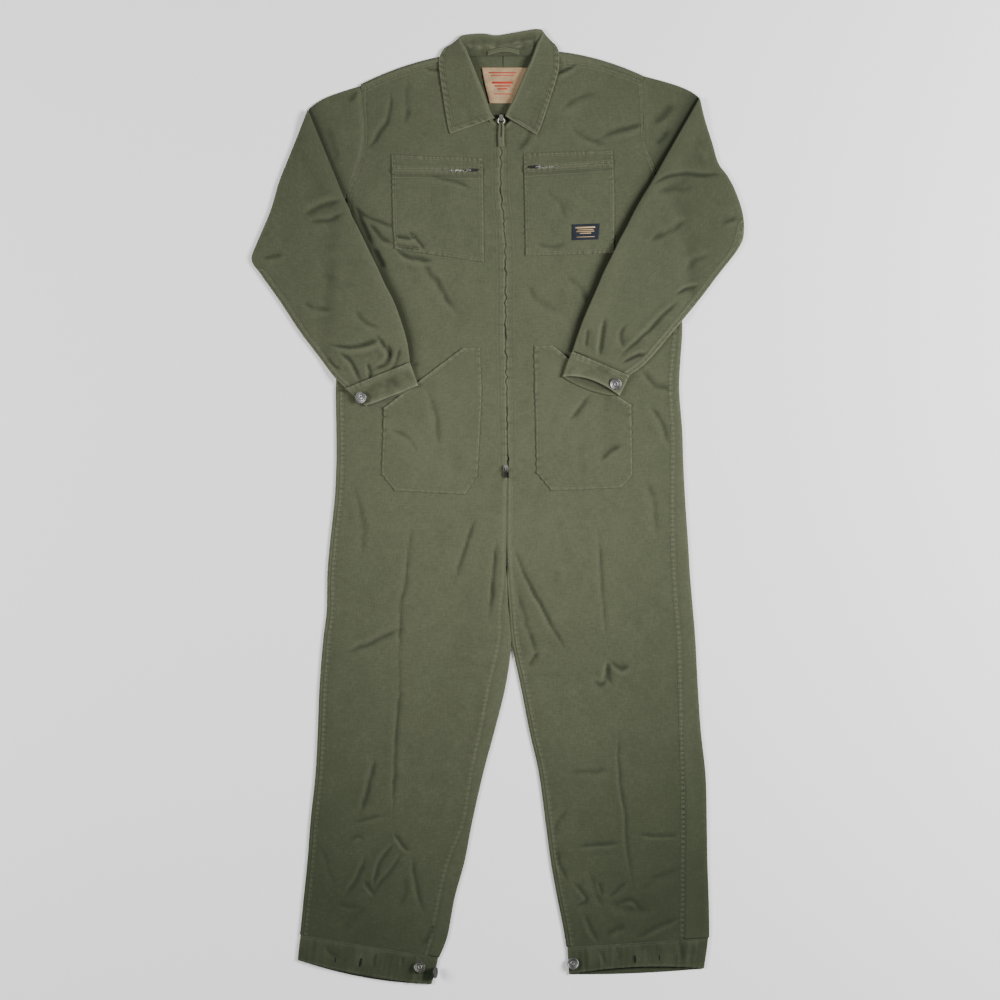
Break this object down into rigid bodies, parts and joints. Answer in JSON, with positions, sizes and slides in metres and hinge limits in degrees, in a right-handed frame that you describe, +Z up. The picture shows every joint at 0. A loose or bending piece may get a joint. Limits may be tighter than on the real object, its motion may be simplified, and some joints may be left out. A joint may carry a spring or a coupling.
{
  "type": "boiler suit",
  "caption": "Long-sleeved boiler suit in olive cotton canvas, laid flat on its back with the sleeves folded down, zip front, patch pockets and buttoned cuffs and ankles.",
  "frame": {"origin": "under the middle of the laid-out garment, on the surface it rests on", "axes": "+Y runs from the hems to the collar, +X towards the wearer's left arm, +Z up out of the fronts"},
  "size_m": [0.8212, 1.5879, 0.023],
  "materials": {
    "canvas": "matt washed canvas",
    "zip_tape": "matt woven tape",
    "neck_label": "matt woven tan",
    "chest_label": "woven navy",
    "pull_tab": "folded canvas tape on a nickel ring",
    "nickel": "aged nickel"
  },
  "bodies": {
    "garment": {"back_left": "canvas", "back_right": "canvas", "chest_band_left": "canvas", "chest_band_right": "canvas", "chest_label": "chest_label", "chest_pocket_left": "canvas", "chest_pocket_right": "canvas", "chest_zip_left": "zip_tape", "chest_zip_left_slider": "nickel", "chest_zip_right": "zip_tape", "chest_zip_right_slider": "nickel", "collar_left": "canvas", "collar_right": "canvas", "collar_stand": "canvas", "cuff_button_left": "nickel", "cuff_button_right": "nickel", "cuff_left": "canvas", "cuff_right": "canvas", "front_left": "canvas", "front_right": "canvas", "front_zip": "zip_tape", "hanger_loop": "canvas", "hem_button_left": "nickel", "hem_button_right": "nickel", "hem_button_right_side": "nickel", "hem_left": "canvas", "hem_right": "canvas", "hip_pocket_left": "canvas", "hip_pocket_right": "canvas", "neck_label": "neck_label", "sleeve_head_left": "canvas", "sleeve_head_right": "canvas", "sleeve_left": "canvas", "sleeve_right": "canvas", "zip_bottom_slider": "nickel", "zip_top_slider": "nickel"},
    "top_pull": {"zip_top_pull": "pull_tab"},
    "bottom_pull": {"zip_bottom_pull": "nickel"},
    "chest_right_pull": {"chest_zip_right_pull": "nickel"},
    "chest_left_pull": {"chest_zip_left_pull": "nickel"}
  },
  "joints": [
    {"name": "top_pull_hinge", "type": "hinge", "parent": "garment", "child": "top_pull", "pos_m": [0.007, 0.648, 0.00835], "axis": [-1, 0, 0], "range_deg": [0, 165]},
    {"name": "bottom_pull_hinge", "type": "hinge", "parent": "garment", "child": "bottom_pull", "pos_m": [0.0146, 0.064, 0.0104], "axis": [-1, 0, 0], "range_deg": [0, 165]},
    {"name": "chest_right_pull_hinge", "type": "hinge", "parent": "garment", "child": "chest_right_pull", "pos_m": [-0.047, 0.56, 0.0115], "axis": [0, -1, 0], "range_deg": [0, 165]},
    {"name": "chest_left_pull_hinge", "type": "hinge", "parent": "garment", "child": "chest_left_pull", "pos_m": [0.068, 0.5655, 0.0115], "axis": [0, 1, 0], "range_deg": [0, 165]}
  ]
}
